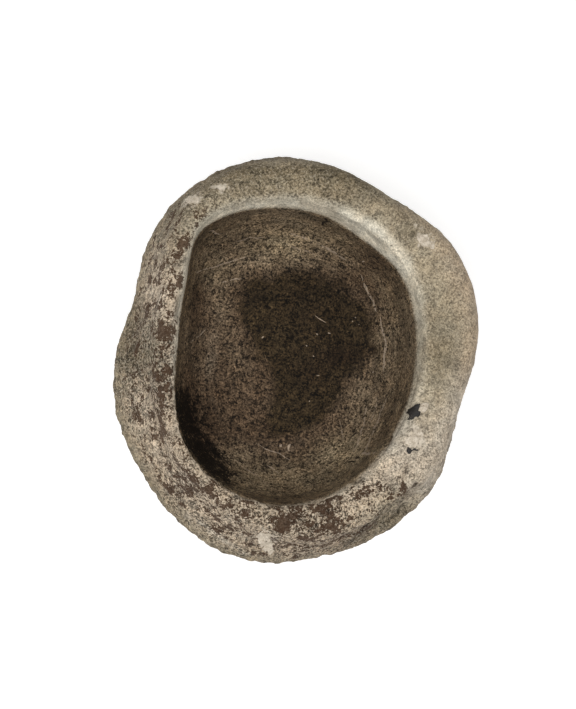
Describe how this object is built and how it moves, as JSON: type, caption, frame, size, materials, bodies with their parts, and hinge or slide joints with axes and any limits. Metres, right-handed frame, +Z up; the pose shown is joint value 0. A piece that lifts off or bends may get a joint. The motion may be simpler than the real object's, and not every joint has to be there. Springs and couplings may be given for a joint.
{
  "type": "molcajete",
  "caption": "Deep mortar hollowed out of one block of grey volcanic stone, on stub feet, for grinding spices, chillies and corn.",
  "frame": {"origin": "on the surface it stands on, under the middle of the block", "axes": "+Z up, +Y along the longer side of the plan, with the basin's nearly straight side towards -X"},
  "size_m": [0.2703, 0.301, 0.165],
  "materials": {
    "stone": "matte",
    "pitch": "satin",
    "lime": "matte"
  },
  "bodies": {
    "root": {"stone_block": "stone", "pitch_patch_lower": "pitch", "pitch_patch_upper": "pitch", "lime_chip": "lime", "lime_patch": "lime", "lime_patch_east": "lime", "lime_patch_north": "lime", "lime_patch_south": "lime"}
  },
  "joints": []
}
